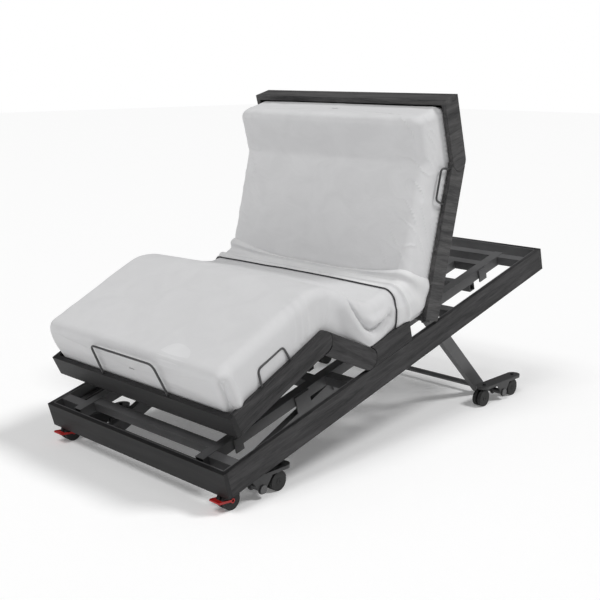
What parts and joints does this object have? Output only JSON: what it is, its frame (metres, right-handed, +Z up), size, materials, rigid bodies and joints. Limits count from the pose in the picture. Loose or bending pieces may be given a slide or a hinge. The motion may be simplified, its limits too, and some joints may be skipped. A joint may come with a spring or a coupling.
{
  "type": "adjustable bed base",
  "caption": "Low adjustable bed base with a wood-look surround, hinged deck sections, mattress and bed linen, on folding leg frames with castor bogies.",
  "frame": {"origin": "on the floor, under the middle of the bed's length and width", "axes": "+Z up, +Y along the bed towards the head end, +X across the bed to the right as seen from the foot end"},
  "size_m": [1.114, 2.078, 1.4414],
  "materials": {
    "woodgrain_laminate": "satin",
    "chassis_steel": "satin",
    "bed_linen": "matte",
    "dark_wire": "satin",
    "black_plastic": "matte",
    "wheel_tread": "matte",
    "red_plastic": "satin",
    "plated_rod": "satin"
  },
  "bodies": {
    "chassis": {"surround_boards": "woodgrain_laminate", "chassis_rails": "chassis_steel", "chassis_cross_members": "chassis_steel", "leg_brackets": "chassis_steel", "control_box": "black_plastic", "seat_boards": "woodgrain_laminate", "seat_frame": "chassis_steel", "mattress_seat": "bed_linen"},
    "back_carriage": {"back_carriage": "chassis_steel"},
    "back_section": {"back_boards": "woodgrain_laminate", "back_frame": "chassis_steel", "back_retainers": "dark_wire", "mattress_back": "bed_linen"},
    "head_section": {"head_boards": "woodgrain_laminate", "head_frame": "chassis_steel", "mattress_head": "bed_linen"},
    "thigh_section": {"thigh_boards": "woodgrain_laminate", "thigh_frame": "chassis_steel", "mattress_thigh": "bed_linen"},
    "calf_section": {"calf_boards": "woodgrain_laminate", "calf_frame": "chassis_steel", "calf_retainers": "dark_wire", "mattress_calf": "bed_linen"},
    "foot_leg_frame": {"foot_legs": "chassis_steel", "foot_leg_tubes": "chassis_steel"},
    "head_leg_frame": {"head_legs": "chassis_steel", "head_leg_tubes": "chassis_steel"},
    "bogie_foot_left": {"bogie_foot_left": "chassis_steel"},
    "bogie_foot_right": {"bogie_foot_right": "chassis_steel"},
    "bogie_head_left": {"bogie_head_left": "chassis_steel"},
    "bogie_head_right": {"bogie_head_right": "chassis_steel"},
    "castor_1": {"castor_fork_1": "black_plastic"},
    "wheels_1": {"castor_wheels_1": "wheel_tread"},
    "castor_2": {"castor_fork_2": "black_plastic"},
    "wheels_2": {"castor_wheels_2": "wheel_tread"},
    "castor_3": {"castor_fork_3": "black_plastic"},
    "wheels_3": {"castor_wheels_3": "wheel_tread"},
    "castor_4": {"castor_fork_4": "black_plastic"},
    "wheels_4": {"castor_wheels_4": "wheel_tread"},
    "castor_5": {"castor_fork_5": "black_plastic"},
    "wheels_5": {"castor_wheels_5": "wheel_tread"},
    "castor_6": {"castor_fork_6": "black_plastic"},
    "wheels_6": {"castor_wheels_6": "wheel_tread"},
    "castor_7": {"castor_fork_7": "black_plastic"},
    "wheels_7": {"castor_wheels_7": "wheel_tread"},
    "castor_8": {"castor_fork_8": "black_plastic"},
    "wheels_8": {"castor_wheels_8": "wheel_tread"},
    "brake_pedal_left": {"brake_pedal_left": "red_plastic"},
    "brake_pedal_right": {"brake_pedal_right": "red_plastic"},
    "foot_lift_body": {"foot_lift_body": "black_plastic"},
    "foot_lift_rod": {"foot_lift_rod": "plated_rod"},
    "head_lift_body": {"head_lift_body": "black_plastic"},
    "head_lift_rod": {"head_lift_rod": "plated_rod"},
    "thigh_lift_body": {"thigh_lift_body": "black_plastic"},
    "thigh_lift_rod": {"thigh_lift_rod": "plated_rod"},
    "back_lift_body": {"back_lift_body": "black_plastic"},
    "back_lift_rod": {"back_lift_rod": "plated_rod"},
    "neck_lift_body": {"neck_lift_body": "black_plastic"},
    "neck_lift_rod": {"neck_lift_rod": "plated_rod"}
  },
  "joints": [
    {"name": "thigh_hinge", "type": "hinge", "parent": "chassis", "child": "thigh_section", "pos_m": [0, -0.23622, 0.42012], "axis": [1, 0, 0], "range_deg": [0, 39.6]},
    {"name": "knee_hinge", "type": "hinge", "parent": "thigh_section", "child": "calf_section", "pos_m": [0, -0.5008, 0.54126], "axis": [1, 0, 0], "range_deg": [-50.3, 0.1]},
    {"name": "back_carriage_slide", "type": "slide", "parent": "chassis", "child": "back_carriage", "axis": [0, 0.9659, 0.2588], "range_m": [-0.1225, 0.0005]},
    {"name": "back_hinge", "type": "hinge", "parent": "back_carriage", "child": "back_section", "pos_m": [0, 0.17141, 0.52934], "axis": [1, 0, 0], "range_deg": [-61.3, 0]},
    {"name": "neck_hinge", "type": "hinge", "parent": "back_section", "child": "head_section", "pos_m": [0, 0.32701, 1.16765], "axis": [1, 0, 0], "range_deg": [-29.4, 0]},
    {"name": "foot_leg_hinge", "type": "hinge", "parent": "chassis", "child": "foot_leg_frame", "pos_m": [0, -0.26496, 0.28612], "axis": [1, 0, 0], "range_deg": [0, 45]},
    {"name": "head_leg_hinge", "type": "hinge", "parent": "chassis", "child": "head_leg_frame", "pos_m": [0, 0.36807, 0.45574], "axis": [1, 0, 0], "range_deg": [0, 50]},
    {"name": "bogie_foot_left_pivot", "type": "hinge", "parent": "foot_leg_frame", "child": "bogie_foot_left", "pos_m": [-0.5, -0.80245, 0.038], "axis": [1, 0, 0], "range_deg": [-45.2, 0.2]},
    {"name": "bogie_foot_right_pivot", "type": "hinge", "parent": "foot_leg_frame", "child": "bogie_foot_right", "pos_m": [0.5, -0.80245, 0.038], "axis": [1, 0, 0], "range_deg": [-45.2, 0.2]},
    {"name": "bogie_head_left_pivot", "type": "hinge", "parent": "head_leg_frame", "child": "bogie_head_left", "pos_m": [-0.5, 0.78755, 0.038], "axis": [1, 0, 0], "range_deg": [-50.2, 0.2]},
    {"name": "bogie_head_right_pivot", "type": "hinge", "parent": "head_leg_frame", "child": "bogie_head_right", "pos_m": [0.5, 0.78755, 0.038], "axis": [1, 0, 0], "range_deg": [-50.2, 0.2]},
    {"name": "castor_1_swivel", "type": "hinge", "parent": "bogie_foot_left", "child": "castor_1", "pos_m": [-0.5, -0.92045, 0.08], "axis": [0, 0, 1], "continuous": true},
    {"name": "wheels_1_spin", "type": "hinge", "parent": "castor_1", "child": "wheels_1", "pos_m": [-0.5, -0.94545, 0.0375], "axis": [1, 0, 0], "continuous": true},
    {"name": "castor_2_swivel", "type": "hinge", "parent": "bogie_foot_left", "child": "castor_2", "pos_m": [-0.5, -0.68445, 0.08], "axis": [0, 0, 1], "continuous": true},
    {"name": "wheels_2_spin", "type": "hinge", "parent": "castor_2", "child": "wheels_2", "pos_m": [-0.5, -0.70945, 0.0375], "axis": [1, 0, 0], "continuous": true},
    {"name": "castor_3_swivel", "type": "hinge", "parent": "bogie_head_left", "child": "castor_3", "pos_m": [-0.5, 0.66955, 0.08], "axis": [0, 0, 1], "continuous": true},
    {"name": "wheels_3_spin", "type": "hinge", "parent": "castor_3", "child": "wheels_3", "pos_m": [-0.5, 0.64455, 0.0375], "axis": [1, 0, 0], "continuous": true},
    {"name": "castor_4_swivel", "type": "hinge", "parent": "bogie_head_left", "child": "castor_4", "pos_m": [-0.5, 0.90555, 0.08], "axis": [0, 0, 1], "continuous": true},
    {"name": "wheels_4_spin", "type": "hinge", "parent": "castor_4", "child": "wheels_4", "pos_m": [-0.5, 0.88055, 0.0375], "axis": [1, 0, 0], "continuous": true},
    {"name": "castor_5_swivel", "type": "hinge", "parent": "bogie_foot_right", "child": "castor_5", "pos_m": [0.5, -0.92045, 0.08], "axis": [0, 0, 1], "continuous": true},
    {"name": "wheels_5_spin", "type": "hinge", "parent": "castor_5", "child": "wheels_5", "pos_m": [0.5, -0.94545, 0.0375], "axis": [1, 0, 0], "continuous": true},
    {"name": "castor_6_swivel", "type": "hinge", "parent": "bogie_foot_right", "child": "castor_6", "pos_m": [0.5, -0.68445, 0.08], "axis": [0, 0, 1], "continuous": true},
    {"name": "wheels_6_spin", "type": "hinge", "parent": "castor_6", "child": "wheels_6", "pos_m": [0.5, -0.70945, 0.0375], "axis": [1, 0, 0], "continuous": true},
    {"name": "castor_7_swivel", "type": "hinge", "parent": "bogie_head_right", "child": "castor_7", "pos_m": [0.5, 0.66955, 0.08], "axis": [0, 0, 1], "continuous": true},
    {"name": "wheels_7_spin", "type": "hinge", "parent": "castor_7", "child": "wheels_7", "pos_m": [0.5, 0.64455, 0.0375], "axis": [1, 0, 0], "continuous": true},
    {"name": "castor_8_swivel", "type": "hinge", "parent": "bogie_head_right", "child": "castor_8", "pos_m": [0.5, 0.90555, 0.08], "axis": [0, 0, 1], "continuous": true},
    {"name": "wheels_8_spin", "type": "hinge", "parent": "castor_8", "child": "wheels_8", "pos_m": [0.5, 0.88055, 0.0375], "axis": [1, 0, 0], "continuous": true},
    {"name": "brake_pedal_left_tilt", "type": "hinge", "parent": "castor_1", "child": "brake_pedal_left", "pos_m": [-0.5, -0.94545, 0.0375], "axis": [1, 0, 0], "range_deg": [0, 8]},
    {"name": "brake_pedal_right_tilt", "type": "hinge", "parent": "castor_5", "child": "brake_pedal_right", "pos_m": [0.5, -0.94545, 0.0375], "axis": [1, 0, 0], "range_deg": [0, 8]},
    {"name": "foot_lift_pivot", "type": "hinge", "parent": "chassis", "child": "foot_lift_body", "pos_m": [-0.09, -0.67587, 0.16773], "axis": [1, 0, 0], "range_deg": [0, 2.53]},
    {"name": "foot_lift_stroke", "type": "slide", "parent": "foot_lift_body", "child": "foot_lift_rod", "axis": [0, 0.9884, 0.1517], "range_m": [0, 0.03764]},
    {"name": "head_lift_pivot", "type": "hinge", "parent": "chassis", "child": "head_lift_body", "pos_m": [0.09, 0.77819, 0.53664], "axis": [1, 0, 0], "range_deg": [0, 2.84]},
    {"name": "head_lift_stroke", "type": "slide", "parent": "head_lift_body", "child": "head_lift_rod", "axis": [0, -0.9617, -0.2741], "range_m": [-0.0416, 0]},
    {"name": "thigh_lift_pivot", "type": "hinge", "parent": "chassis", "child": "thigh_lift_body", "pos_m": [-0.09, 0.15672, 0.42188], "axis": [1, 0, 0], "range_deg": [0, 1.92]},
    {"name": "thigh_lift_stroke", "type": "slide", "parent": "thigh_lift_body", "child": "thigh_lift_rod", "axis": [0, -0.9867, -0.1627], "range_m": [-0.04936, 0]},
    {"name": "back_lift_pivot", "type": "hinge", "parent": "chassis", "child": "back_lift_body", "pos_m": [0.09, -0.22189, 0.28937], "axis": [1, 0, 0], "range_deg": [-5.55, 0]},
    {"name": "back_lift_stroke", "type": "slide", "parent": "back_lift_body", "child": "back_lift_rod", "axis": [0, 0.8796, 0.4757], "range_m": [-0.18311, 0]},
    {"name": "neck_lift_pivot", "type": "hinge", "parent": "back_section", "child": "neck_lift_body", "pos_m": [-0.09, 0.30075, 0.8066], "axis": [1, 0, 0], "range_deg": [-1.2, 0]},
    {"name": "neck_lift_stroke", "type": "slide", "parent": "neck_lift_body", "child": "neck_lift_rod", "axis": [0, 0.2174, 0.9761], "range_m": [-0.02983, 0]}
  ],
  "couplings": [
    {"joint": "knee_hinge", "follows": "thigh_hinge", "ratio": -1.2677},
    {"joint": "back_carriage_slide", "follows": "back_hinge", "m_per_rad": 0.11403},
    {"joint": "bogie_foot_left_pivot", "follows": "foot_leg_hinge", "ratio": -1},
    {"joint": "bogie_foot_right_pivot", "follows": "foot_leg_hinge", "ratio": -1},
    {"joint": "bogie_head_left_pivot", "follows": "head_leg_hinge", "ratio": -1},
    {"joint": "bogie_head_right_pivot", "follows": "head_leg_hinge", "ratio": -1},
    {"joint": "foot_lift_pivot", "follows": "foot_leg_hinge", "ratio": 0.05521},
    {"joint": "foot_lift_stroke", "follows": "foot_leg_hinge", "m_per_rad": 0.047539},
    {"joint": "head_lift_pivot", "follows": "head_leg_hinge", "ratio": 0.05581},
    {"joint": "head_lift_stroke", "follows": "head_leg_hinge", "m_per_rad": -0.047321},
    {"joint": "thigh_lift_pivot", "follows": "thigh_hinge", "ratio": 0.04725},
    {"joint": "thigh_lift_stroke", "follows": "thigh_hinge", "m_per_rad": -0.070987},
    {"joint": "back_lift_pivot", "follows": "back_hinge", "ratio": 0.08973},
    {"joint": "back_lift_stroke", "follows": "back_hinge", "m_per_rad": 0.17087},
    {"joint": "neck_lift_pivot", "follows": "neck_hinge", "ratio": 0.03896},
    {"joint": "neck_lift_stroke", "follows": "neck_hinge", "m_per_rad": 0.057552}
  ]
}
